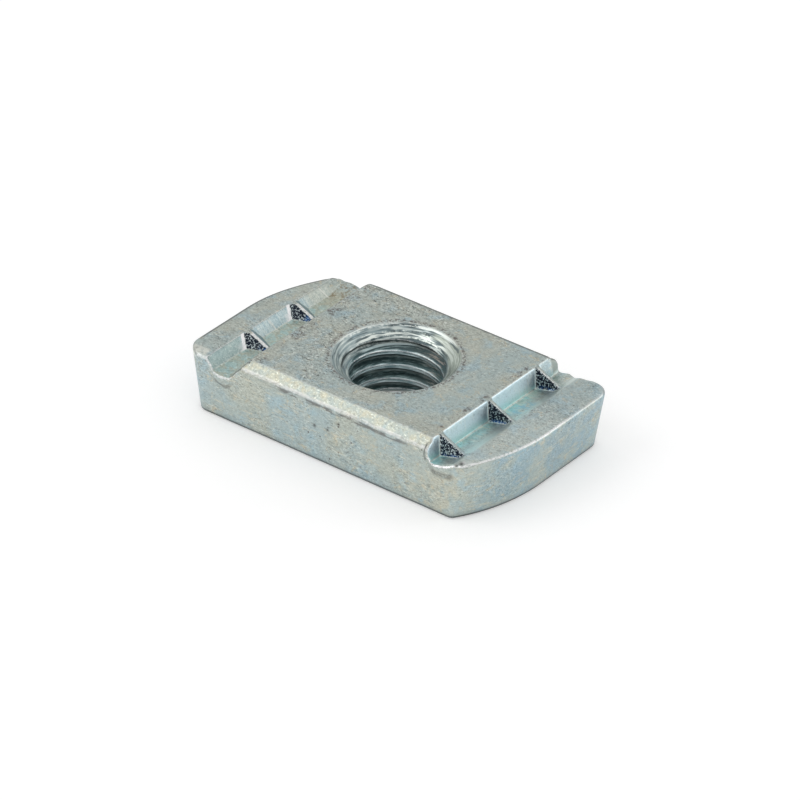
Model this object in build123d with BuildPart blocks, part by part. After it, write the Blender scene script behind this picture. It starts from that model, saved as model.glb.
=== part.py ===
from build123d import *
import math
import os

# Channel nut for slotted steel channel, all lengths in millimetres and angles in degrees.
# The threaded bore runs along Z through the origin, the length lies along X and the width
# along Y, and the flat base stands on z = 0.

# Body
nut_length = 34.9           # over the two ends, at the tops of the lobes
nut_width = 18.7            # across the long sides, at the base
land_height = 7.23          # from the base to the top of the land
lobe_height = 6.05          # from the base to the lobes at the two ends
end_lean = 9.6              # the ends lean outwards towards the top
side_lean = 0.9             # the long sides do too, a little
corner_radius = 1.7         # the two vertical corners that are not cut by the turning circle
tip_radius = 0.8            # the two vertical corners where the turning circle meets the long sides
land_bevel = 0.9            # along the two long top edges of the land, at 45 degrees
lobe_edge_round = 0.3       # top edge at the ends
base_edge_round = 0.2       # sharp lower rim

# Land between the grooves
land_length = 20.9
land_offset = 0.47          # the land's centre lies this far from the bore's axis, towards +X

# Bore
bore_radius = 4.25          # minor radius of the M10 thread
top_sink_radius = 5.94
base_sink_radius = 5.4
sink_angle = 90

# Groove at the +X end: a steep wall under the land, a rising floor and a low outer wall
right_wall_run = 0.45       # how far the steep wall leans out down to the floor
right_floor_height = 5.3    # at the foot of the steep wall
right_floor_width = 1.83
right_floor_rise = 0.3
right_outer_slope = 33      # outer wall, up to the lobe

# Groove at the -X end: a leaning wall under the land, a floor, and a wall cut in the lobe
left_wall_run = 1.82
left_floor_height = 4.9     # at the foot of the wall under the land
left_floor_width = 1.9
left_floor_rise = 0.1
left_outer_slope = 49.5

# Ribs that cross the grooves, left standing between the notches of the coining punches
rib_crest_width = 0.38
right_rib_count = 3
right_rib_pitch = 7.04
right_rib_offset = -0.43    # middle of the row, along Y
right_rib_fall = 24         # slope of the crest, from the land's edge down to the lobe
right_rib_flank = 16.6      # lean of the flanks, square to the crest
left_rib_count = 2
left_rib_pitch = 6.56
left_rib_offset = -0.27
left_rib_fall = 24.5        # slope of the crest, from the lobe down to the floor
left_rib_flank = 51
left_crest_level = 0.5      # the crest runs level with the lobe for this far

# Metal squeezed out where the grooves leave the long sides: a round lip below each floor, and a
# swelling at the land's corners beside the +X groove
lip_height = 0.35           # how far a lip stands out
lip_radius = 1.3            # of its round outline
lip_sink = 0.15             # depth of its root in the side
swell_height = 0.28
swell_radius = 0.9
swell_drop = 0.3            # from the foot of the bevel down to the swelling's middle

# Reach of the cutting tools beyond the metal
clear = 3.0


# Lean of the ends and sides, as growth of the half length and half width with height
end_growth = math.tan(math.radians(end_lean))
side_growth = math.tan(math.radians(side_lean))
base_half_length = nut_length / 2 - lobe_height * end_growth
base_half_width = nut_width / 2
top_half_width = base_half_width + land_height * side_growth

# Edges of the land and the section points of the two grooves, in X and Z
land_right = land_offset + land_length / 2
land_left = land_offset - land_length / 2

right_foot = (land_right + right_wall_run, right_floor_height)
right_floor_end = (right_foot[0] + right_floor_width, right_floor_height + right_floor_rise)
right_outer_run = (lobe_height - right_floor_end[1]) / math.tan(math.radians(right_outer_slope))
right_edge = (right_floor_end[0] + right_outer_run, lobe_height)

left_foot = (land_left - left_wall_run, left_floor_height)
left_floor_end = (left_foot[0] - left_floor_width, left_floor_height + left_floor_rise)
left_outer_run = (lobe_height - left_floor_end[1]) / math.tan(math.radians(left_outer_slope))
left_edge = (left_floor_end[0] - left_outer_run, lobe_height)


# Punch of the +X groove, with a notch for each rib
with BuildPart() as right_punch:
    with BuildSketch(Plane.XZ):
        Polygon(
            (land_right, land_height),
            right_foot,
            right_floor_end,
            right_edge,
            (right_edge[0] + clear, lobe_height + clear * math.tan(math.radians(right_outer_slope))),
            (right_edge[0] + clear, land_height + clear),
            (land_right, land_height + clear),
            align=None,
        )
    extrude(amount=top_half_width + clear, both=True)
    right_depth = land_height - right_floor_height + clear
    right_crest = Plane(
        origin=(land_right, right_rib_offset, land_height),
        x_dir=(0, 1, 0),
        z_dir=(math.cos(math.radians(right_rib_fall)), 0, -math.sin(math.radians(right_rib_fall))),
    )
    with BuildSketch(right_crest.offset(-clear)):
        with GridLocations(right_rib_pitch, 1, right_rib_count, 1):
            Polygon(
                (-rib_crest_width / 2, 0),
                (rib_crest_width / 2, 0),
                (rib_crest_width / 2 + right_depth * math.tan(math.radians(right_rib_flank)), -right_depth),
                (-rib_crest_width / 2 - right_depth * math.tan(math.radians(right_rib_flank)), -right_depth),
                align=None,
            )
    extrude(amount=right_edge[0] - land_right + 2 * clear, mode=Mode.SUBTRACT)

# Punch of the -X groove
with BuildPart() as left_punch:
    with BuildSketch(Plane.XZ):
        Polygon(
            (land_left, land_height),
            left_foot,
            left_floor_end,
            left_edge,
            (left_edge[0] - clear, lobe_height + clear * math.tan(math.radians(left_outer_slope))),
            (left_edge[0] - clear, land_height + clear),
            (land_left, land_height + clear),
            align=None,
        )
    extrude(amount=top_half_width + clear, both=True)
    left_depth = lobe_height - left_floor_height + clear
    left_crest = Plane(
        origin=(left_edge[0] + left_crest_level, left_rib_offset, lobe_height),
        x_dir=(0, 1, 0),
        z_dir=(math.cos(math.radians(left_rib_fall)), 0, -math.sin(math.radians(left_rib_fall))),
    )
    with BuildSketch(left_crest.offset(-clear)):
        with GridLocations(left_rib_pitch, 1, left_rib_count, 1):
            Polygon(
                (-rib_crest_width / 2, 0),
                (rib_crest_width / 2, 0),
                (rib_crest_width / 2 + left_depth * math.tan(math.radians(left_rib_flank)), -left_depth),
                (-rib_crest_width / 2 - left_depth * math.tan(math.radians(left_rib_flank)), -left_depth),
                align=None,
            )
    extrude(amount=land_left - left_edge[0] + 2 * clear, mode=Mode.SUBTRACT)

# One lip: a shallow cap of a ball, sunk a little into the side that carries it
lip_ball = (lip_radius ** 2 + lip_height ** 2) / (2 * lip_height)
with BuildPart() as lip:
    with Locations((0, lip_height - lip_ball, 0)):
        Sphere(lip_ball)
    with Locations((0, (lip_height - lip_sink) / 2, 0)):
        Box(2 * lip_ball, lip_height + lip_sink, 2 * lip_ball, mode=Mode.INTERSECT)

with BuildPart() as channel_nut:
    # Plan at the base: two opposite corners lie on the circle that the nut turns in
    reach = math.sqrt(base_half_length ** 2 - base_half_width ** 2)
    sweep = math.degrees(math.asin(base_half_width / base_half_length))
    with BuildSketch():
        with BuildLine():
            Line((base_half_length, 0), (base_half_length, base_half_width))
            Line((base_half_length, base_half_width), (-reach, base_half_width))
            CenterArc((0, 0), base_half_length, 180 - sweep, sweep)
            Line((-base_half_length, 0), (-base_half_length, -base_half_width))
            Line((-base_half_length, -base_half_width), (reach, -base_half_width))
            CenterArc((0, 0), base_half_length, -sweep, sweep)
        make_face()
    extrude(amount=lobe_height)
    # Lean of the long sides, then of the ends, with the foot left as it is
    draft(channel_nut.faces().filter_by(Axis.Y), Plane.XY, -side_lean)
    ends = channel_nut.faces().filter_by(
        lambda f: abs(f.center().X) > reach and f.geom_type in (GeomType.PLANE, GeomType.CYLINDER)
    )
    draft(ends, Plane.XY, -end_lean)
    # Vertical corners: the two off the turning circle are rounded widely, its tips a little
    uprights = channel_nut.edges().filter_by(lambda e: abs(e.center().Z - lobe_height / 2) < lobe_height / 4)
    corners = uprights.filter_by(lambda e: e.center().X * e.center().Y > reach * base_half_width / 2)
    tips = uprights.filter_by(lambda e: e.center().X * e.center().Y < -reach * base_half_width / 2)
    fillet(corners, corner_radius)
    fillet(tips, tip_radius)
    # Rounded rims, along the tops of the two ends and round the whole foot
    end_rims = channel_nut.edges().group_by(Axis.Z)[-1].filter_by(lambda e: abs(e.center().X) > reach)
    fillet(end_rims, lobe_edge_round)
    fillet(channel_nut.edges().group_by(Axis.Z)[0], base_edge_round)
    # The land, flush with the long sides, reaching over both grooves until they are coined
    land_start = left_foot[0]
    land_end = (right_edge[0] + right_floor_end[0]) / 2
    with BuildSketch(Plane.YZ.offset(land_start)):
        Polygon(
            (base_half_width, 0),
            (top_half_width - land_bevel * side_growth, land_height - land_bevel),
            (top_half_width - land_bevel, land_height),
            (land_bevel - top_half_width, land_height),
            (land_bevel * side_growth - top_half_width, land_height - land_bevel),
            (-base_half_width, 0),
            align=None,
        )
        with Locations((0, lobe_height / 4)):
            Rectangle(nut_width * 2, lobe_height / 2, mode=Mode.SUBTRACT)
    extrude(amount=land_end - land_start)
    # Lips, squeezed out below the floors at both ends of each groove
    lip_side = base_half_width + right_floor_height * side_growth
    lip_right = (right_foot[0] + right_floor_end[0]) / 2
    lip_left = (left_foot[0] + left_floor_end[0]) / 2
    with Locations(
        (lip_right, lip_side, right_floor_height),
        (lip_left, lip_side, left_floor_height),
        Location((lip_right, -lip_side, right_floor_height), (0, 0, 180)),
        Location((lip_left, -lip_side, left_floor_height), (0, 0, 180)),
    ):
        add(lip.part)
    # Swellings at the land's corners
    swell_side = top_half_width + swell_height - swell_radius
    swell_level = land_height - land_bevel - swell_drop
    with Locations(
        (land_right + right_wall_run / 2, swell_side, swell_level),
        (land_right + right_wall_run / 2, -swell_side, swell_level),
    ):
        Sphere(swell_radius)
    add(right_punch.part, mode=Mode.SUBTRACT)
    add(left_punch.part, mode=Mode.SUBTRACT)
    with Locations(Plane.XY.offset(land_height)):
        CounterSinkHole(bore_radius, top_sink_radius, counter_sink_angle=sink_angle)
    with Locations(Plane.YX):
        CounterSinkHole(bore_radius, base_sink_radius, counter_sink_angle=sink_angle)
channel_nut.part.label = "channel_nut"

os.makedirs("parts", exist_ok=True)
export_step(channel_nut.part, "parts/channel_nut.step")
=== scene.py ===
import math

import bmesh
import bpy
import numpy as np
from mathutils import Matrix, Vector, noise
from mathutils.bvhtree import BVHTree


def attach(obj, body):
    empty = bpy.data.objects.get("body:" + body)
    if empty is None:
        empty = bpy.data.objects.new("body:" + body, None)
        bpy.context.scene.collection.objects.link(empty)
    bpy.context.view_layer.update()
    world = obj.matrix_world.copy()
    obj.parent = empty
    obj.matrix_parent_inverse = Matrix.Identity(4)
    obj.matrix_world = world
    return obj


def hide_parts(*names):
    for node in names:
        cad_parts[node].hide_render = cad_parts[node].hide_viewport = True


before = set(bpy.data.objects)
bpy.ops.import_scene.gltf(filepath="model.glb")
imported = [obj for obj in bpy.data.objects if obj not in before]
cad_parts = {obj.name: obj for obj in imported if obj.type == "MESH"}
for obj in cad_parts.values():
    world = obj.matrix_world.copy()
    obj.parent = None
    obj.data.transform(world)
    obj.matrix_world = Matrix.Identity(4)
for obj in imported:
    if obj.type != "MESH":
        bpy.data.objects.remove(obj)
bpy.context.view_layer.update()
scene = bpy.context.scene
MM = 0.001

# Sizes of the nut in millimetres, the solid's own or within 0.1 of them
HEIGHT = 7.23
SIDE = 9.46                 # half the width, at the top of the long sides
BEVEL = 0.9
BEVEL_FOOT = HEIGHT - BEVEL
LAND_SIDE = SIDE - BEVEL    # half the width of the land's flat top
LAND_RIGHT = 10.92
LAND_LEFT = -9.98
LOBE_HEIGHT = 6.05
LOBE_RIM = 17.0             # where the left lobe's top turns down into its end
SINK_RADIUS = 5.94
BORE_RADIUS = 4.25

# Grooves: heights of the floors, and where the outer walls meet the lobes
RIGHT_FLOOR = 5.3
RIGHT_EDGE = 13.9
RIGHT_CUT = 13.4            # the clean cut faces reach out to here
LEFT_FLOOR = 4.9
LEFT_EDGE = -14.52

# Middles of the right groove's ribs along Y
RIGHT_RIBS = (-7.47, -0.43, 6.61)

# Ribs of the left groove: middles along Y, start of the falling crest, slopes and crest width
LEFT_RIBS = (-3.55, 3.01)
RIB_START = -14.02
RIB_FALL = 24.5
RIB_FLANK = 51
RIB_CREST = 0.38

# Thread: pitch and major radius of M10, with the crests where the photograph shows them
PITCH = 1.5
THREAD_MAJOR = 5.0
THREAD_TURNS = 3.5          # above the middle of the cutter, and as many below
THREAD_STEPS = 120          # in each turn
THREAD_REACH = 0.25         # of the cutter into the open bore
CREST_DEPTH = 2.27
CREST_ANGLE = 128.1

# Mesh of the finished nut
WELD = 1e-7                 # in metres, unlike the other lengths
VOXEL = 0.09
TRIANGLES = 190000

# Softness of the metal: how far one round draws a point to its neighbours, and numbers of rounds
EASE = 0.5
CRISP_EASE = 0.18
EASE_ROUNDS = 9
BLEND_ROUNDS = 6
SOFT_ROUNDS = 80

# How far the easing takes an edge or a corner from the sharp surface, in millimetres
EASED_GAP = 0.045
CRISP_GAP = 0.02

# Uneven forms of the forged metal, in millimetres
WAVE_LENGTH = 4.0
WAVE_DEPTH = 0.012
WAVE_PLACE = (3.0, 5.1, 6.9)
FLOOR_RISE = 0.5
LOBE_FALL = 0.25
CORNER = (-17.3, -9.7)
CORNER_PULL = (0.3, 0.09)

# Short ridges on the outer wall of the left groove: place along Y at one level, and lean
CREASES = ((-0.62, -0.3), (6.78, -0.4))
CREASE_LEVEL = 5.5
CREASE_HEIGHT = 0.07
CREASE_WIDTH = 0.09

# Dents that the photograph shows: centre, radius and depth in millimetres
DENTS = (
    ((-1.9, -9.40, 3.75), 0.22, 0.07),
    ((-0.4, -9.40, 3.85), 0.18, 0.06),
    ((0.9, -9.43, 4.95), 0.16, 0.05),
    ((14.25, -8.75, 6.0), 0.3, 0.12),
    ((13.95, -9.15, 5.85), 0.26, 0.1),
    ((-16.3, -8.6, 5.9), 0.2, 0.07),
    ((-14.35, -9.2, 5.95), 0.18, 0.09),
)
DENT_STEEPNESS = 1.5

# Lamps: name, place and diameter in metres, and power in watts
LAMPS = (
    ("key", (-0.26, -0.27, 0.33), 0.36, 0.32),
    ("rear", (0.34, 0.32, 0.1), 0.25, 0.25),
)

# Light from all round, and the floor: its width in metres and the light it sends to the camera
WORLD_STRENGTH = 0.78
FLOOR_SIZE = 3.0
FLOOR_GLOW = 0.3

# Camera, fitted to the nut's edges in the photograph: angles in degrees and lengths in millimetres
AZIMUTH = 38.128
ELEVATION = 32.515
ROLL = 0.276
DISTANCE = 437.716
TARGET = (0.4712, 0, 2.7126)
SENSOR_WIDTH = 36
PHOTO_WIDTH = 800           # in pixels, as the next value is
FOCAL_LENGTH = 4821.66


def link(obj):
    scene.collection.objects.link(obj)
    return obj


def applied(obj, kind, **settings):
    """Gives the object the mesh that one modifier makes of it, and returns that mesh."""
    modifier = obj.modifiers.new(kind.lower(), kind)
    for name, value in settings.items():
        setattr(modifier, name, value)
    bpy.context.view_layer.update()
    shape = obj.evaluated_get(bpy.context.evaluated_depsgraph_get())
    mesh = bpy.data.meshes.new_from_object(shape)
    obj.modifiers.clear()
    obj.data = mesh
    return mesh


def array_of(items, field, width, kind=float):
    """One field of a mesh's points or edges as an array, with a row for each."""
    flat = np.empty(len(items) * width, dtype=kind)
    items.foreach_get(field, flat)
    return flat.reshape(-1, width)


def smoothstep(low, high, value):
    t = np.clip((value - low) / (high - low), 0, 1)
    return t * t * (3 - 2 * t)


def window(value, start, full, last, end):
    """Zero up to start, one from full to last, and zero again from end."""
    return smoothstep(start, full, value) * smoothstep(end, last, value)


def relaxed(points, edges, weight, rounds):
    """The points drawn towards the middle of their neighbours, each by its own weight."""
    a, b = edges[:, 0], edges[:, 1]
    count = np.bincount(a, minlength=len(points)) + np.bincount(b, minlength=len(points))
    for _ in range(rounds):
        step = np.empty_like(points)
        for axis in range(points.shape[1]):
            total = np.bincount(a, points[b, axis], len(points))
            total += np.bincount(b, points[a, axis], len(points))
            step[:, axis] = total / count - points[:, axis]
        points = points + step * weight[:, None]
    return points


# Groove of the thread: its section swept along a right-handed helix
def thread_cutter():
    outer_half = PITCH / 16
    minor_half = PITCH * 3 / 8
    slope = (minor_half - outer_half) / (THREAD_MAJOR - BORE_RADIUS)
    inner = BORE_RADIUS - THREAD_REACH
    inner_half = outer_half + slope * (THREAD_MAJOR - inner)
    centre = HEIGHT - CREST_DEPTH - PITCH / 2
    section = (
        (inner, -inner_half),
        (THREAD_MAJOR, -outer_half),
        (THREAD_MAJOR, outer_half),
        (inner, inner_half),
    )
    bm = bmesh.new()
    rings = []
    last = int(THREAD_TURNS * THREAD_STEPS)
    for i in range(-last, last + 1):
        angle = math.radians(CREST_ANGLE) + 2 * math.pi * i / THREAD_STEPS
        z = centre + PITCH * i / THREAD_STEPS
        rings.append([
            bm.verts.new((r * math.cos(angle) * MM, r * math.sin(angle) * MM, (z + dz) * MM))
            for r, dz in section
        ])
    for a, b in zip(rings[:-1], rings[1:]):
        for k in range(4):
            bm.faces.new((a[k], a[(k + 1) % 4], b[(k + 1) % 4], b[k]))
    bm.faces.new(rings[0][::-1])
    bm.faces.new(rings[-1])
    bmesh.ops.recalc_face_normals(bm, faces=bm.faces)
    mesh = bpy.data.meshes.new("thread_cutter")
    bm.to_mesh(mesh)
    bm.free()
    return link(bpy.data.objects.new("thread_cutter", mesh))


def threaded_nut():
    """The solid's own surface, closed up and with the thread cut into its bore."""
    bm = bmesh.new()
    bm.from_mesh(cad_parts["channel_nut"].data)
    bmesh.ops.remove_doubles(bm, verts=bm.verts, dist=WELD)
    mesh = bpy.data.meshes.new("nut_sharp")
    bm.to_mesh(mesh)
    bm.free()
    mesh.materials.clear()
    obj = link(bpy.data.objects.new("nut", mesh))
    cutter = thread_cutter()
    applied(obj, "BOOLEAN", operation="DIFFERENCE", solver="EXACT", object=cutter)
    bpy.data.objects.remove(cutter)
    return obj


def crisp_parts(start):
    """True in the coined grooves and the thread, which keep crisper edges than the rest."""
    x, y, z = start.T
    right = (x > LAND_RIGHT + 0.15) & (x < 13.2)
    left = (x > LEFT_EDGE - 0.1) & (x < LAND_LEFT - 0.15)
    coined = (z > 4.7) & (right | left)
    return coined | (np.hypot(x, y) < THREAD_MAJOR + 0.1)


def eased(points, edges, crisp):
    """The points with every edge eased, less where it is crisp."""
    weight = np.where(crisp, CRISP_EASE, EASE)
    weight = relaxed(weight[:, None], edges, np.full(len(points), EASE), BLEND_ROUNDS)[:, 0]
    return relaxed(points, edges, weight, EASE_ROUNDS)


def softness(start):
    """How much the metal is rounded beyond the easing of all edges, from zero to one."""
    x, y, z = start.T
    right_edge = window(x, 12.3, 13.0, 14.5, 15.3) * smoothstep(5.0, 5.3, z)
    for rib in RIGHT_RIBS:
        right_edge *= smoothstep(0.5, 1.0, np.abs(y - rib))
    left_edge = window(x, -15.1, -14.8, -14.3, -14.0) * smoothstep(5.4, 5.7, z)
    land_tips = window(x, -11.3, -10.7, -9.4, -8.8) * smoothstep(7.6, 8.4, np.abs(y))
    land_tips *= smoothstep(5.6, 6.3, z)
    far_swelling = window(x, 10.0, 10.4, 11.8, 12.4) * smoothstep(8.6, 9.0, y) * smoothstep(5.2, 5.7, z)
    bevel_foot = smoothstep(0.5, 0.2, np.abs(z - BEVEL_FOOT)) * smoothstep(9.1, 9.3, np.abs(y))
    bevel_foot *= np.abs(x - 0.4) < 10.6
    parts = (right_edge, 0.35 * left_edge, 0.5 * land_tips, 0.5 * far_swelling, 0.4 * bevel_foot)
    return np.max(parts, axis=0)


def raise_left_floor(points, start):
    """Lifts the far end of the left groove's floor towards the side."""
    x, y, z = start.T
    rise = FLOOR_RISE * smoothstep(7.0, 9.0, y) * window(x, -14.9, -14.0, -11.2, -10.2)
    points[:, 2] += rise * window(z, 3.4, 4.7, 4.95, 6.05)


def wave(points, normals):
    """Gives the forged faces a slow unevenness, always inwards."""
    slow = np.array([noise.noise(Vector(p) / WAVE_LENGTH + Vector(WAVE_PLACE)) for p in points])
    points -= normals * (WAVE_DEPTH * (1 + slow))[:, None]


def draw_left_lobe(points, start):
    """Lets the left lobe fall away towards its far corner, and rounds its front corner."""
    x, y, z = start.T
    fall = LOBE_FALL * smoothstep(-1.0, 9.0, y) * smoothstep(LEFT_EDGE + 0.8, LEFT_EDGE - 0.6, x)
    points[:, 2] -= fall * smoothstep(2.0, 6.0, z)
    away = np.hypot(points[:, 0] - CORNER[0], points[:, 1] - CORNER[1])
    near = smoothstep(2.4, 0.6, away)
    points[:, 0] += CORNER_PULL[0] * near
    points[:, 1] += CORNER_PULL[1] * near


def raise_creases(points, start, normals):
    """Raises the short ridges, and returns one on them and zero away from them."""
    x, z = start[:, 0], start[:, 2]
    on_wall = window(x, -14.6, -14.3, -13.5, -13.2) * (z > LEFT_FLOOR)
    on_crease = np.zeros(len(points))
    for place, lean in CREASES:
        line = points[:, 1] - place - lean * (points[:, 2] - CREASE_LEVEL)
        ridge = np.exp(-((line / CREASE_WIDTH) ** 2)) * on_wall
        points += normals * (CREASE_HEIGHT * ridge)[:, None]
        on_crease = np.maximum(on_crease, ridge)
    return on_crease


def press_dents(points, normals):
    """Presses the dents in, and returns one in their middles and zero away from them."""
    in_dent = np.zeros(len(points))
    for centre, size, depth in DENTS:
        away = np.linalg.norm(points - np.array(centre), axis=1)
        hollow = np.exp(-((away / size) ** 2) * DENT_STEEPNESS)
        points -= normals * (depth * hollow)[:, None]
        in_dent = np.maximum(in_dent, hollow)
    return in_dent


def over_surface(points, tree):
    """How far each point lies outside the sharp surface, and which way that surface faces there."""
    gap = np.empty(len(points))
    facing = np.empty((len(points), 3))
    for i, point in enumerate(points):
        spot, normal, *_ = tree.find_nearest(Vector(point))
        gap[i] = (Vector(point) - spot).dot(normal)
        facing[i] = normal
    return gap, facing


def rib_highlight_bands(points):
    """One in a narrow band on the left groove's wall, beside the front face of each rib, where a painted
    highlight goes.
    """
    x, y, z = points.T
    fall, lean = math.radians(RIB_FALL), math.radians(RIB_FLANK)
    depth = (x - RIB_START) * math.sin(fall) + (z - LOBE_HEIGHT) * math.cos(fall)
    bands = np.zeros(len(points))
    for rib in LEFT_RIBS:
        away = -(y - rib + RIB_CREST / 2) * math.cos(lean) + depth * math.sin(lean)
        bands = np.maximum(bands, window(away, -0.05, 0.0, 0.2, 0.3))
    return bands


def finish_layers(points, tree, crisp):
    """Values for the finish at each point: convex edges, which carry painted highlights and shade, filled
    corners, the faces of the ribs, and bands beside the ribs for a painted highlight.
    """
    gap, facing = over_surface(points, tree)
    x, y, z = points.T
    inside = np.abs(y) < SIDE - 0.6
    in_right = inside & (x > LAND_RIGHT + 0.02) & (x < RIGHT_EDGE) & (z > RIGHT_FLOOR - 0.1)
    in_left = inside & (x > LEFT_EDGE - 0.6) & (x < LAND_LEFT + 0.1) & (z > LEFT_FLOOR - 0.1)
    sideways = np.abs(facing[:, 1])
    on_flank = (in_right & (sideways > 0.8)) | (in_left & (sideways > 0.5))
    on_wall = in_left & (facing[:, 0] > 0.4) & (facing[:, 0] < 0.95)
    full = np.where(crisp, CRISP_GAP, EASED_GAP)
    return {
        "convex_edges": np.clip((-gap - 0.2 * full) / (0.7 * full), 0, 1),
        "concave_fill": np.clip((gap - 0.2 * full) / (0.8 * full), 0, 1),
        "flank": np.where(on_flank & (facing[:, 1] < 0), 1.0, 0.0),
        "flank_back": np.where(on_flank & (facing[:, 1] > 0), 1.0, 0.0),
        "band": np.where(on_wall, rib_highlight_bands(points), 0.0),
    }


# The nut: the solid's own surface, threaded, with its edges eased and dented as handling leaves them
def make_nut():
    obj = threaded_nut()
    tree = BVHTree.FromPolygons(
        [v.co / MM for v in obj.data.vertices], [tuple(p.vertices) for p in obj.data.polygons]
    )
    fine = applied(obj, "REMESH", mode="VOXEL", voxel_size=VOXEL * MM)
    start = array_of(fine.vertices, "co", 3) / MM
    normals = array_of(fine.vertices, "normal", 3)
    edges = array_of(fine.edges, "vertices", 2, np.int64)
    crisp = crisp_parts(start)
    points = eased(start, edges, crisp)
    layers = finish_layers(points, tree, crisp)
    points = relaxed(points, edges, EASE * softness(start), SOFT_ROUNDS)
    raise_left_floor(points, start)
    wave(points, normals)
    draw_left_lobe(points, start)
    layers["crease"] = raise_creases(points, start, normals)
    layers["dent"] = press_dents(points, normals)
    fine.vertices.foreach_set("co", (points * MM).ravel())
    fine.update()
    for name, values in layers.items():
        layer = fine.attributes.new(name, "FLOAT", "POINT")
        layer.data.foreach_set("value", values.astype(np.float32))
    light = applied(obj, "DECIMATE", ratio=min(1.0, TRIANGLES / (2 * len(fine.polygons))))
    for polygon in light.polygons:
        polygon.use_smooth = True
    return obj


nut = make_nut()
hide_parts("channel_nut")
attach(nut, "root")


def tone(r, g, b):
    """A colour that shows nearly as these values from 0 to 255 under this scene's light."""
    exposure = 1.25
    linear = [((v / 255 + 0.055) / 1.055) ** 2.4 if v > 10 else v / 255 / 12.92 for v in (r, g, b)]
    return (*[min(v * exposure, 1.0) for v in linear], 1)


class Graph:
    """Short ways to add nodes to one material."""

    def __init__(self, material):
        material.use_nodes = True
        self.tree = material.node_tree

    def add(self, kind, inputs=(), **settings):
        made = self.tree.nodes.new(kind)
        for key, value in settings.items():
            setattr(made, key, value)
        for key, value in dict(inputs).items():
            if isinstance(value, bpy.types.NodeSocket):
                self.tree.links.new(value, made.inputs[key])
            else:
                made.inputs[key].default_value = value
        return made

    def math(self, operation, a, b=0.0):
        return self.add("ShaderNodeMath", {0: a, 1: b}, operation=operation).outputs[0]

    def plus(self, a, b):
        return self.math("ADD", a, b)

    def minus(self, a, b):
        return self.math("SUBTRACT", a, b)

    def size(self, value):
        return self.math("ABSOLUTE", value)

    def times(self, *values):
        """The product, which is one only where every mask is one."""
        total = values[0]
        for value in values[1:]:
            total = self.math("MULTIPLY", total, value)
        return total

    def most(self, *values):
        """The greatest of the values."""
        total = values[0]
        for value in values[1:]:
            total = self.math("MAXIMUM", total, value)
        return total

    def ramp(self, value, low, high, start=0.0, end=1.0):
        """The value carried smoothly from low..high to start..end."""
        made = self.add(
            "ShaderNodeMapRange",
            {"Value": value, "From Min": low, "From Max": high, "To Min": start, "To Max": end},
            interpolation_type="SMOOTHSTEP",
        )
        return made.outputs["Result"]

    def band(self, value, centre, half, soft):
        """One within half of the centre, falling to zero over soft."""
        return self.ramp(self.size(self.minus(value, centre)), half, half + soft, 1.0, 0.0)

    def between(self, value, low, high, soft):
        """One from low to high, falling to zero over soft on both sides."""
        return self.band(value, (low + high) / 2, (high - low) / 2, soft)

    def noise(self, vector, scale, detail=3.0, roughness=0.55, distortion=0.0):
        made = self.add("ShaderNodeTexNoise", {
            "Vector": vector,
            "Scale": scale,
            "Detail": detail,
            "Roughness": roughness,
            "Distortion": distortion,
        })
        return made.outputs[0]

    def scaled(self, vector, factors):
        return self.add("ShaderNodeVectorMath", {0: vector, 1: factors}, operation="MULTIPLY").outputs[0]

    def split(self, vector):
        return self.add("ShaderNodeSeparateXYZ", {0: vector}).outputs

    def mix(self, factor, a, b):
        made = self.add("ShaderNodeMix", {0: factor, 6: a, 7: b}, data_type="RGBA", clamp_factor=True)
        return made.outputs[2]

    def over(self, colour, tint, *masks, strength=1.0):
        """The colour with the tint over it, at this strength where every mask is one."""
        factor = self.times(*masks)
        if strength < 1.0:
            factor = self.times(factor, strength)
        return self.mix(factor, colour, tint)

    def attribute(self, name):
        return self.add("ShaderNodeAttribute", attribute_name=name).outputs["Fac"]


# Zinc: the place on the nut in millimetres, and the way the surface faces
zinc = bpy.data.materials.new("zinc")
g = Graph(zinc)
coords = g.add("ShaderNodeTexCoord")
mm = g.scaled(coords.outputs["Object"], (1 / MM, 1 / MM, 1 / MM))
px, py, pz = g.split(mm)
nx, ny, nz = g.split(coords.outputs["Normal"])
radius = g.math("SQRT", g.plus(g.times(px, px), g.times(py, py)))
across = g.math("DIVIDE", px, radius)
along = g.math("DIVIDE", py, radius)
level = g.ramp(nz, 0.75, 0.97)
upright = g.ramp(g.size(nz), 0.15, 0.45, 1.0, 0.0)

# Patterns that several colours share
broad = g.noise(mm, 0.17, 2.0, 0.5, 0.5)
clouds = g.noise(mm, 0.5, 3.0, 0.6, 0.6)
blotch = g.noise(mm, 1.25, 3.0, 0.6, 0.8)
patchy = g.noise(mm, 2.2, 3.0, 0.7)
dots = g.noise(mm, 3.2, 3.0, 0.7)
lengthwise = g.scaled(mm, (0.6, 1.0, 1.25))
grain = g.noise(lengthwise, 5.5, 4.0, 0.7, 0.8)
dust = g.noise(lengthwise, 10.0, 2.0, 0.6, 1.0)
scored = g.noise(g.scaled(mm, (0.3, 6.0, 0.3)), 1.0, 3.0, 0.65)

# Roughness of the grain, which is coarser on the left half of the top
coarse_side = g.most(g.ramp(px, 4.0, -3.0), g.ramp(px, 11.0, 12.5, 0.0, 0.35))
coarse = g.times(level, coarse_side, g.ramp(px, -15.0, -14.0, 0.3, 1.0))
uneven = g.ramp(g.noise(mm, 0.3, 2.0, 0.5), 0.38, 0.62, 0.6, 1.0)
rough_zone = g.times(uneven, g.ramp(coarse, 0.0, 1.0, 0.75, 1.25))

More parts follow.
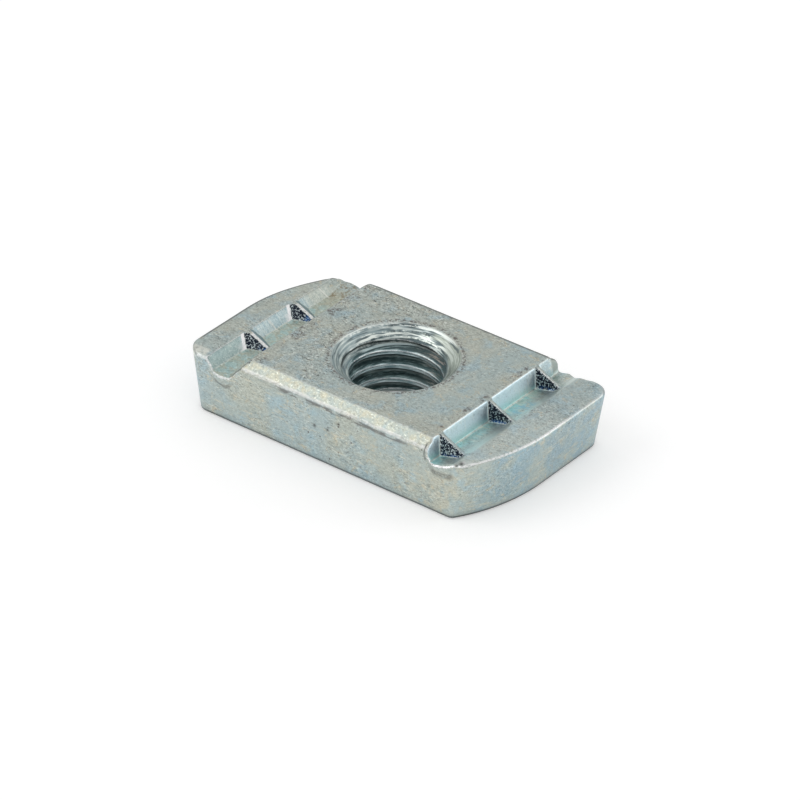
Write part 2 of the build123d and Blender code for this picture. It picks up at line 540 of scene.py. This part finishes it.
# Places that several colours share
on_land = g.times(level, g.ramp(pz, 7.0, 7.12))
cut_right = g.times(
    g.between(px, LAND_RIGHT, RIGHT_CUT, 0.15),
    g.ramp(pz, 5.1, 5.2),
    g.ramp(pz, 7.2, 7.1),
    g.ramp(py, 7.5, 6.6, 0.25, 1.0),
)
wall_right = g.times(cut_right, g.ramp(nx, 0.7, 0.9))
floor_right = g.times(
    cut_right,
    g.ramp(nz, 0.75, 0.9),
    g.ramp(pz, 6.3, 6.0),
    g.ramp(px, 13.2, 11.6),
    g.ramp(clouds, 0.38, 0.56, 0.45, 1.0),
)
in_left = g.times(g.between(px, LEFT_EDGE, LAND_LEFT, 0.1), g.ramp(pz, 4.7, 4.8))
wall_left = g.times(in_left, g.ramp(nx, 0.45, 0.6), g.ramp(nx, 0.95, 0.9))
floor_left = g.times(in_left, g.ramp(nz, 0.9, 0.97), g.ramp(pz, 5.4, 5.2))
convex_edges = g.attribute("convex_edges")


def towards(angle, low, high):
    """One on the side of the bore that lies in this direction, falling to zero away from it."""
    turn = math.radians(angle)
    return g.ramp(g.plus(g.times(across, math.cos(turn)), g.times(along, math.sin(turn))), low, high)


def specks(scale, middle, edge, low, high):
    """Small round specks in some of the cells of a pattern."""
    cells = g.add("ShaderNodeTexVoronoi", {"Vector": mm, "Scale": scale}, feature="F1")
    pick = g.add("ShaderNodeSeparateColor", {0: cells.outputs["Color"]}).outputs[0]
    return g.times(g.ramp(cells.outputs["Distance"], middle, edge, 1.0, 0.0), g.ramp(pick, low, high))


def flecked(colour, place, pattern, *flecks):
    """The colour with flecks in one place: limits in the pattern, strength and tint of each."""
    for low, high, strength, tint in flecks:
        colour = g.over(colour, tone(*tint), place, g.ramp(pattern, low, high, 0.0, strength))
    return colour


spots = specks(0.85, 0.05, 0.12, 0.66, 0.74)
pits = g.times(specks(2.4, 0.08, 0.2, 0.72, 0.8), rough_zone)


# Bright zinc: pale grey with cool and warm clouds, and streaks on the sides
def body():
    top = g.mix(g.ramp(broad, 0.36, 0.64), tone(163, 176, 174), tone(171, 176, 167))
    sides = g.mix(g.ramp(broad, 0.34, 0.66), tone(157, 172, 173), tone(168, 174, 165))
    # The ends: a bluer tint of their own, and darker as painted shade
    ends_tint_and_shade = g.mix(g.ramp(clouds, 0.36, 0.64), tone(142, 165, 174), tone(154, 169, 168))
    right_lobe = g.mix(g.ramp(py, -1.0, 4.5), tone(184, 196, 192), tone(142, 164, 170))
    colour = g.mix(upright, top, sides)
    colour = g.over(colour, ends_tint_and_shade, upright, g.ramp(g.size(nx), 0.6, 0.8), g.ramp(py, -9.0, -5.5))
    colour = g.over(colour, right_lobe, level, g.ramp(px, 13.2, 14.2, 0.0, 0.35))
    colour = g.over(colour, tone(182, 184, 172), g.ramp(clouds, 0.50, 0.66, 0.0, 0.3))
    colour = g.over(colour, tone(190, 180, 154), g.ramp(blotch, 0.57, 0.70, 0.0, 0.6))
    cool = g.noise(mm, 0.55, 3.0, 0.55, 0.5)
    colour = g.over(colour, tone(152, 177, 186), g.ramp(cool, 0.50, 0.70, 0.0, 0.6))
    streaks = g.noise(g.scaled(mm, (0.5, 0.5, 3.0)), 1.0, 4.0, 0.6, 0.3)
    colour = g.over(colour, tone(194, 188, 168), upright, g.ramp(streaks, 0.56, 0.68), strength=0.5)
    colour = g.over(colour, tone(134, 153, 160), upright, g.ramp(streaks, 0.42, 0.3), strength=0.4)
    # Tan patch round the front corner of the right lobe
    from_corner = g.plus(g.size(g.minus(px, 14.2)), g.size(g.plus(py, 9.0)))
    return g.over(
        colour, tone(192, 184, 160), upright, g.ramp(nx, 0.85, 0.4), g.ramp(from_corner, 4.6, 1.4),
        g.ramp(clouds, 0.36, 0.5), strength=0.45,
    )


# Grain, dust and specks
def grain_and_specks(colour):
    colour = flecked(
        colour, rough_zone, grain, (0.51, 0.30, 0.95, (90, 98, 95)), (0.50, 0.72, 0.85, (218, 223, 217))
    )
    colour = flecked(colour, rough_zone, dust, (0.45, 0.28, 0.9, (98, 82, 80)))
    colour = g.over(colour, tone(84, 76, 74), spots, strength=0.75)
    return g.over(colour, tone(92, 80, 78), pits, strength=0.6)


# Smudges on the land: a dotted ring round the bore, and the edges beside the grooves
def smudges(colour):
    sparse = g.ramp(g.noise(mm, 0.55, 2.0, 0.5), 0.48, 0.6)
    ring = g.times(g.band(radius, SINK_RADIUS + 0.25, 0.06, 0.3), on_land)
    near_right = g.times(g.band(px, LAND_RIGHT - 0.4, 0.1, 0.4), on_land, sparse)
    near_left = g.times(g.band(px, LAND_LEFT + 0.5, 0.3, 0.8), on_land, sparse)
    return flecked(colour, g.most(ring, near_right, near_left), dots, (0.46, 0.58, 0.85, (96, 90, 88)))


# Bevels, with a painted highlight along their foot and a dark line on the side below it
def bevels(colour):
    on_bevel = g.times(
        g.ramp(g.size(py), LAND_SIDE - 0.05, LAND_SIDE + 0.12),
        g.ramp(pz, BEVEL_FOOT - 0.12, BEVEL_FOOT + 0.02),
        g.ramp(nz, 0.35, 0.5),
    )
    tint = g.mix(g.ramp(blotch, 0.4, 0.62), tone(162, 170, 164), tone(184, 180, 158))
    colour = g.over(colour, tint, on_bevel, strength=0.5)
    fleck = g.noise(g.scaled(mm, (1.0, 1.6, 1.6)), 3.4, 3.0, 0.75)
    colour = flecked(
        colour, on_bevel, fleck, (0.54, 0.68, 0.7, (222, 226, 214)), (0.46, 0.32, 0.6, (118, 122, 116))
    )
    # Painted highlight along the foot of the bevel, broken up by a pattern
    highlight_breakup = g.noise(g.scaled(mm, (0.6, 0.6, 2.0)), 1.3, 3.0, 0.7)
    colour = g.over(
        colour, tone(238, 240, 230), g.band(pz, BEVEL_FOOT + 0.12, 0.05, 0.22),
        g.ramp(g.size(py), SIDE - 0.3, SIDE - 0.15), g.ramp(highlight_breakup, 0.36, 0.52, 0.25, 1.0),
        strength=0.5,
    )
    dark_line_breakup = g.noise(g.scaled(mm, (0.5, 0.5, 2.0)), 1.3, 3.0, 0.7)
    return g.over(
        colour, tone(100, 98, 96), upright, g.band(pz, BEVEL_FOOT - 0.3, 0.08, 0.26),
        g.ramp(dark_line_breakup, 0.40, 0.56), g.band(px, 0.5, 7.0, 2.0),
        strength=0.75,
    )


# Shade under the lips of the front side, and a dark line down the land's end at the right groove
def lip_shade(colour):
    left_curve = g.minus(pz, g.times(g.size(g.plus(px, 12.4)), 0.5))
    left = g.times(g.band(px, -12.6, 0.6, 0.6), g.band(left_curve, 3.72, 0.05, 0.28))
    right = g.times(g.band(px, 12.6, 0.9, 0.6), g.band(pz, 4.5, 0.1, 0.4))
    faded = g.most(g.ramp(patchy, 0.36, 0.54, 0.15, 0.9), g.ramp(px, 0.0, -5.0, 0.0, 0.6))
    colour = g.over(
        colour, tone(96, 94, 90), g.ramp(ny, -0.3, -0.6), g.most(left, right), faded, strength=0.7
    )
    return g.over(
        colour, tone(66, 66, 64), g.ramp(py, -9.0, -9.2), g.band(px, 10.7, 0.02, 0.1),
        g.ramp(pz, 5.0, 5.4), g.ramp(pz, 6.9, 6.6),
        strength=0.75,
    )


# Foot of the sides, darker down to the rim: painted shade near the floor
def dark_foot(colour):
    sides = (g.ramp(g.size(nz), 0.95, 0.8), g.ramp(pz, 0.9, 0.1))
    rim = (g.ramp(pz, 0.42, 0.22), g.ramp(nz, -0.97, -0.9))
    # Painted shade near the floor: darker sides, and a dark rim at the foot
    colour = g.over(colour, tone(120, 132, 134), *sides, strength=0.4)
    return g.over(colour, tone(58, 64, 66), *rim, strength=0.85)


# Right groove: clean cut faces, pale blue on the wall with a cyan foot, and painted light on the outer slope
def right_groove(colour):
    marks = g.noise(g.scaled(mm, (0.4, 2.2, 0.5)), 1.0, 3.0, 0.6, 0.4)
    wall = g.mix(g.ramp(pz, 5.3, 6.3), tone(164, 202, 202), tone(200, 220, 228))
    wall = g.over(wall, tone(220, 226, 222), g.ramp(marks, 0.5, 0.66, 0.0, 0.45))
    colour = g.over(colour, wall, wall_right, strength=0.85)
    colour = flecked(
        colour, wall_right, grain, (0.48, 0.34, 0.28, (132, 152, 154)), (0.52, 0.66, 0.2, (226, 236, 238))
    )
    floor = g.mix(g.ramp(marks, 0.42, 0.6), tone(176, 216, 216), tone(206, 218, 208))
    colour = g.over(colour, floor, floor_right, strength=0.85)
    # Painted light on the outer slope and the floor's outer edge, against the groove's shade
    return g.over(
        colour, tone(196, 208, 204), g.band(px, 13.5, 0.5, 0.6), g.ramp(nx, -0.08, -0.4),
        g.ramp(pz, 6.2, 6.0), g.ramp(pz, 5.2, 5.4),
        strength=0.7,
    )


# Beside the right groove: painted shade on the far swelling, dark scratches and a blue patch
def right_marks(colour):
    # Painted shade on the far swelling
    colour = g.over(
        colour, tone(128, 136, 130), g.band(px, LAND_RIGHT + 0.4, 0.9, 0.3), g.ramp(py, 8.5, 8.8),
        g.ramp(pz, 7.2, 7.1), g.ramp(pz, 5.4, 5.8),
        strength=0.8,
    )
    scratches = g.noise(g.scaled(mm, (1.0, 3.0, 1.0)), 2.2, 3.0, 0.7)
    colour = g.over(
        colour, tone(100, 98, 96), level, g.band(px, 13.6, 0.6, 0.5), g.band(py, 1.6, 0.8, 0.8),
        g.ramp(scratches, 0.5, 0.6),
        strength=0.7,
    )
    return g.over(
        colour, tone(122, 178, 196), level, g.band(px, 12.7, 0.3, 0.7), g.band(py, 2.4, 0.7, 1.0),
        g.ramp(blotch, 0.42, 0.56),
        strength=0.6,
    )


# Left groove: a scored wall under the land, a floor, and a stain at the far end
def left_groove(colour):
    wall = g.mix(g.ramp(scored, 0.34, 0.66), tone(155, 180, 188), tone(193, 206, 206))
    wall = g.over(wall, tone(148, 168, 164), g.ramp(py, -4.2, -5.2, 0.0, 0.75))
    wall = g.over(wall, tone(184, 184, 168), g.ramp(py, 3.6, 5.6, 0.0, 0.65))
    colour = g.over(colour, wall, wall_left, strength=0.85)
    colour = flecked(
        colour, wall_left, grain, (0.49, 0.34, 0.5, (108, 128, 130)), (0.53, 0.66, 0.45, (230, 234, 226))
    )
    floor = g.mix(g.ramp(blotch, 0.4, 0.6), tone(168, 174, 158), tone(160, 190, 188))
    floor = g.over(floor, tone(176, 168, 142), g.ramp(py, 4.5, 6.5, 0.0, 0.7))
    colour = g.over(colour, floor, floor_left, strength=0.65)
    # Grain on the floors of both grooves
    colour = flecked(
        colour, g.most(floor_left, floor_right), grain,
        (0.48, 0.34, 0.4, (100, 122, 120)), (0.54, 0.68, 0.35, (222, 230, 224)),
    )
    stain = (in_left, g.ramp(py, 5.5, 7.0), g.ramp(patchy, 0.5, 0.64), g.ramp(px, -14.0, -13.4))
    return g.over(colour, tone(122, 108, 84), *stain, strength=0.7)


# Countersink: turning lines round it, with rings of painted highlight and painted shade on its far side
def countersink(colour):
    turning = g.add(
        "ShaderNodeCombineXYZ", {0: g.times(across, 0.9), 1: g.times(along, 0.9), 2: g.times(radius, 3.6)}
    ).outputs[0]
    lines = g.noise(turning, 1.0, 4.0, 0.6)
    fine_lines = g.noise(g.scaled(turning, (2.2, 2.2, 1.6)), 1.0, 2.0, 0.6)
    ragged = g.noise(mm, 2.6, 3.0, 0.75)
    wavy = g.plus(radius, g.ramp(ragged, 0.3, 0.7, -0.06, 0.06))
    wavy = g.plus(wavy, g.ramp(lines, 0.3, 0.7, -0.12, 0.12))
    sink = g.mix(g.ramp(lines, 0.36, 0.64), tone(120, 138, 143), tone(176, 187, 185))
    sink = g.over(sink, tone(166, 174, 164), towards(50, 0.3, 0.8), g.ramp(wavy, 4.7, 4.9))
    # Rings of painted highlight and painted shade on the far side of the sink
    top_ring = g.times(g.band(wavy, 5.80, 0.08, 0.1), g.most(towards(92, 0.75, 0.92), towards(152, 0.7, 0.9)))
    middle_ring = g.times(g.band(wavy, 5.12, 0.12, 0.1), towards(118, 0.45, 0.75))
    dark_ring = g.times(g.band(wavy, 5.54, 0.17, 0.08), towards(112, 0.88, 0.95))
    foot_ring = g.times(g.ramp(wavy, 4.98, 4.88), towards(118, 0.2, 0.7))
    # Rings: place, limits in the fine lines, and the darker and the lighter tone
    rings = (
        (top_ring, 0.40, 0.52, (128, 142, 142), (214, 220, 216)),
        (middle_ring, 0.42, 0.52, (120, 134, 136), (222, 228, 222)),
        (dark_ring, 0.46, 0.60, (48, 60, 64), (142, 156, 158)),
        (foot_ring, 0.48, 0.62, (46, 62, 66), (118, 134, 136)),
    )
    for place, low, high, darker, lighter in rings:
        sink = g.over(sink, g.mix(g.ramp(fine_lines, low, high), tone(*darker), tone(*lighter)), place)
    sink = g.over(sink, tone(76, 88, 92), g.ramp(fine_lines, 0.47, 0.36, 0.0, 0.8))
    sink = g.over(sink, tone(216, 222, 216), g.ramp(fine_lines, 0.54, 0.64, 0.0, 0.6))
    in_sink = (g.ramp(radius, SINK_RADIUS + 0.02, SINK_RADIUS - 0.12), g.ramp(pz, 5.3, 5.6))
    return g.over(colour, sink, *in_sink, strength=0.9)


# Bore: painted highlights on the crests and the run-out, painted shade in the grooves between them, on the
# first turn and towards the foot
def bore_walls(colour):
    turned = g.noise(g.scaled(mm, (0.6, 0.6, 9.0)), 1.0, 4.0, 0.65)
    # Painted highlights on the crests and painted shade in the grooves
    crest = g.mix(g.ramp(turned, 0.4, 0.62), tone(100, 126, 132), tone(204, 222, 224))
    groove = g.mix(g.ramp(turned, 0.48, 0.66), tone(58, 84, 87), tone(154, 180, 181))
    bore = g.over(crest, groove, g.ramp(radius, BORE_RADIUS + 0.06, BORE_RADIUS + 0.18))
    first_turn = g.mix(g.ramp(turned, 0.5, 0.64), tone(40, 54, 58), tone(112, 128, 130))
    bore = g.over(
        bore, first_turn, g.ramp(pz, 4.7, 4.95), towards(118, 0.1, 0.7),
        g.ramp(radius, BORE_RADIUS + 0.1, BORE_RADIUS + 0.22),
        strength=0.7,
    )
    run_out = (g.band(pz, 5.53, 0.04, 0.05), towards(138, 0.8, 0.92))
    bore = g.over(bore, tone(186, 204, 206), *run_out, strength=0.8)
    brown = (towards(44, 0.4, 0.85), g.ramp(turned, 0.46, 0.58))
    bore = g.over(bore, tone(146, 122, 108), *brown, strength=0.5)
    bore = g.over(bore, tone(40, 54, 56), g.ramp(pz, 3.8, 2.0, 0.0, 0.3))
    return g.over(
        colour, bore, g.ramp(radius, THREAD_MAJOR + 0.12, THREAD_MAJOR + 0.02), g.ramp(pz, 5.68, 5.5),
        g.ramp(pz, 0.35, 0.6),
        strength=0.9,
    )


# Painted shade: dark outlines on the land's far edge and round the left lobe
def outlines(colour):
    far_line = g.times(
        g.band(py, LAND_SIDE - 0.04, 0.14, 0.1), g.ramp(pz, 7.0, 7.1), g.ramp(patchy, 0.3, 0.48, 0.4, 1.0)
    )
    arc = g.times(g.ramp(radius, LOBE_RIM - 0.08, LOBE_RIM + 0.08), g.ramp(py, -0.4, 0.4))
    edge = g.times(g.ramp(px, 0.08 - LOBE_RIM, -0.08 - LOBE_RIM), g.ramp(py, -7.6, -6.6))
    lobe_line = g.times(g.most(arc, edge), g.ramp(px, -11.5, -12.5), g.ramp(nz, 0.2, 0.5))
    return g.over(colour, tone(84, 88, 88), g.most(far_line, lobe_line), strength=0.75)


def painted_edge_highlights():
    """Where the edges carry painted highlights."""
    # Edges that face up, to the front or to the right, fainter at the grooves and the bevel's foot
    plain = g.times(
        convex_edges,
        g.ramp(patchy, 0.38, 0.55, 0.35, 1.0),
        g.ramp(nz, -0.4, 0.0),
        g.ramp(nz, 0.96, 0.85, 0.3, 1.0),
        g.ramp(ny, 0.3, 0.1),
        g.ramp(nx, -0.35, -0.15),
        g.minus(1.0, g.times(g.band(px, LAND_RIGHT + 0.05, 0.2, 0.15), 0.6)),
        g.ramp(pz, 4.6, 5.4, 0.6, 1.0),
        g.minus(1.0, g.times(g.band(pz, BEVEL_FOOT, 0.14, 0.12), g.ramp(dots, 0.56, 0.44, 0.35, 0.9))),
        g.minus(1.0, g.times(g.band(px, -12.2, 2.0, 0.4), g.ramp(patchy, 0.62, 0.5, 0.0, 0.65))),
        g.most(g.ramp(px, 14.0, 13.0), g.times(g.ramp(nz, 0.97, 0.9), g.ramp(nz, 0.4, 0.62))),
    )
    on_front = g.times(g.ramp(convex_edges, 0.0, 0.4), g.ramp(py, -8.9, -9.2))
    right_lip = g.times(
        on_front, g.band(px, 12.2, 1.4, 0.3), g.band(pz, 5.2, 0.45, 0.25), g.ramp(dots, 0.4, 0.5, 0.3, 1.0)
    )
    left_lip = g.times(
        on_front, g.band(px, -12.9, 1.2, 0.3), g.band(pz, 4.85, 0.3, 0.2), g.ramp(dots, 0.4, 0.5, 0.1, 0.5)
    )
    left_crests = g.times(
        in_left, g.ramp(px, -11.8, -12.3), g.ramp(nz, 0.84, 0.88), g.ramp(nz, 0.97, 0.94),
        g.most(*[g.band(py, rib, 0.22, 0.1) for rib in LEFT_RIBS]), g.ramp(dots, 0.4, 0.55, 0.35, 0.8),
    )
    end_rim = g.times(
        g.ramp(px, 13.9, 14.4), g.band(nz, 0.78, 0.12, 0.12), g.ramp(pz, 5.7, 5.8),
        g.ramp(py, 4.0, 1.5, 0.3, 0.8), g.ramp(dots, 0.38, 0.5, 0.2, 1.0),
    )
    return g.most(plain, right_lip, left_lip, left_crests, end_rim)


# Mask of the painted highlights on the edges
highlighted_edges = painted_edge_highlights()


# Painted light on the edges: highlights in front and shade at the back, and a painted highlight on the left
# lobe's front edge
def painted_edge_light(colour):
    colour = g.over(colour, tone(250, 250, 246), highlighted_edges)
    colour = g.over(
        colour, tone(232, 230, 220), g.band(py, -8.75, 0.25, 0.5), g.band(px, -15.9, 0.8, 0.4),
        g.ramp(pz, 5.2, 5.5), g.ramp(patchy, 0.3, 0.5, 0.4, 1.0),
        strength=0.5,
    )
    # Painted shade on edges that face back
    backwards = g.most(g.ramp(ny, 0.1, 0.3), g.ramp(nx, -0.15, -0.35))
    return g.over(
        colour, tone(92, 96, 96), convex_edges, backwards, g.ramp(nz, 0.0, 0.3), g.ramp(patchy, 0.3, 0.5, 0.5, 1.0),
        strength=0.75,
    )


# Filled corners, dark outside the grooves and paler in them, and the marks that the mesh carries: painted
# highlights beside the ribs and on the creases, and dark dents
def corners_and_marks(colour):
    in_grooves = g.most(cut_right, in_left)
    fill = g.over(tone(96, 100, 98), tone(206, 212, 202), in_grooves, g.ramp(patchy, 0.35, 0.5))
    colour = g.over(colour, fill, g.attribute("concave_fill"), g.ramp(cut_right, 0.0, 1.0, 0.55, 0.3))
    # Painted highlights on the bands beside the ribs and on the creases
    colour = g.over(colour, tone(250, 252, 250), g.attribute("band"), strength=0.95)
    colour = g.over(colour, tone(236, 236, 224), g.attribute("crease"), strength=0.55)
    return g.over(colour, tone(60, 56, 56), g.attribute("dent"), strength=0.85)


# Flanks of the ribs: nearly black in front, with painted glints and a blue foot
def rib_flanks(colour):
    glint = g.noise(mm, 6.5, 2.0, 0.6)
    dark = g.mix(g.ramp(glint, 0.50, 0.64), tone(26, 33, 44), tone(176, 188, 190))
    right_foot = g.times(g.ramp(pz, 5.9, 5.4), g.ramp(px, 11.2, 12.4))
    left_foot = g.times(g.ramp(pz, 5.7, 5.3), g.band(px, -11.7, 0.7, 0.5))
    blue = (g.most(right_foot, left_foot), g.ramp(blotch, 0.42, 0.55))
    dark = g.over(dark, tone(26, 84, 140), *blue, strength=0.75)
    colour = g.over(colour, dark, g.attribute("flank"))
    return g.over(colour, tone(92, 124, 134), g.attribute("flank_back"), strength=0.7)


# All the colours, laid over the body in this order
colour = body()
for layer in (
    grain_and_specks, smudges, bevels, lip_shade, dark_foot, right_groove, right_marks, left_groove,
    countersink, bore_walls, outlines, painted_edge_light, corners_and_marks, rib_flanks,
):
    colour = layer(colour)

# Fine relief: grain, dust, blotches, sunk specks and the scores on the left groove's wall
relief = g.plus(g.times(grain, 0.6), g.times(dust, 0.4))
relief = g.plus(relief, g.times(blotch, 0.6))
relief = g.minus(relief, g.times(g.most(spots, pits), 0.8))
relief = g.plus(relief, g.times(wall_left, scored, 0.5))
bump = g.add("ShaderNodeBump", {"Height": relief, "Strength": 0.5, "Distance": 0.05 * MM})

bsdf = g.tree.nodes["Principled BSDF"]
bsdf.inputs["Metallic"].default_value = 1.0
g.tree.links.new(colour, bsdf.inputs["Base Color"])
rough = g.minus(g.ramp(grain, 0.3, 0.7, 0.34, 0.5), g.times(highlighted_edges, 0.12))
g.tree.links.new(rough, bsdf.inputs["Roughness"])
g.tree.links.new(bump.outputs[0], bsdf.inputs["Normal"])
nut.data.materials.clear()
nut.data.materials.append(zinc)


# Paint of the floor: pale, and white to the camera
def floor_paint():
    paint = bpy.data.materials.new("floor")
    f = Graph(paint)
    f.tree.nodes.clear()
    out = f.add("ShaderNodeOutputMaterial")
    diffuse = f.add("ShaderNodeBsdfDiffuse", {"Color": (0.85, 0.85, 0.85, 1)})
    glow = f.add("ShaderNodeEmission", {"Color": (1, 1, 1, 1), "Strength": FLOOR_GLOW})
    lit = f.add("ShaderNodeAddShader", {0: diffuse.outputs[0], 1: glow.outputs[0]})
    path = f.add("ShaderNodeLightPath").outputs
    seen = f.most(path["Is Camera Ray"], path["Is Glossy Ray"], path["Is Transmission Ray"])
    lift = f.add("ShaderNodeMixShader", {0: seen, 1: diffuse.outputs[0], 2: lit.outputs[0]})
    f.tree.links.new(lift.outputs[0], out.inputs[0])
    return paint


bpy.ops.mesh.primitive_plane_add(size=FLOOR_SIZE)
floor = bpy.context.object
floor.name = "floor"
floor.data.materials.append(floor_paint())

# World
world = bpy.data.worlds.new("world")
scene.world = world
world.use_nodes = True
sky = world.node_tree.nodes["Background"]
sky.inputs["Color"].default_value = (1, 1, 1, 1)
sky.inputs["Strength"].default_value = WORLD_STRENGTH


def lamp(name, place, size, power):
    """A round lamp that points at the nut."""
    data = bpy.data.lights.new(name, "AREA")
    data.shape = "DISK"
    data.size = size
    data.energy = power
    obj = link(bpy.data.objects.new(name, data))
    obj.location = place
    obj.rotation_euler = (-Vector(place)).to_track_quat("-Z", "Y").to_euler()


for settings in LAMPS:
    lamp(*settings)


def make_camera():
    """The camera at its distance from the target, turned a little about its own axis."""
    azimuth, elevation, roll = [math.radians(angle) for angle in (AZIMUTH, ELEVATION, ROLL)]
    toward = Vector((
        math.sin(azimuth) * math.cos(elevation),
        -math.cos(azimuth) * math.cos(elevation),
        math.sin(elevation),
    ))
    right = Vector((math.cos(azimuth), math.sin(azimuth), 0))
    up = toward.cross(right)
    side = right * math.cos(roll) + up * math.sin(roll)
    top = up * math.cos(roll) - right * math.sin(roll)
    data = bpy.data.cameras.new("camera")
    data.sensor_width = SENSOR_WIDTH
    data.lens = FOCAL_LENGTH * SENSOR_WIDTH / PHOTO_WIDTH
    data.clip_start = 0.01
    camera = link(bpy.data.objects.new("camera", data))
    place = Matrix((side, top, toward)).transposed().to_4x4()
    place.translation = Vector(TARGET) * MM + toward * DISTANCE * MM
    camera.matrix_world = place
    return camera


scene.camera = make_camera()
scene.view_settings.view_transform = "Standard"

bpy.context.view_layer.update()
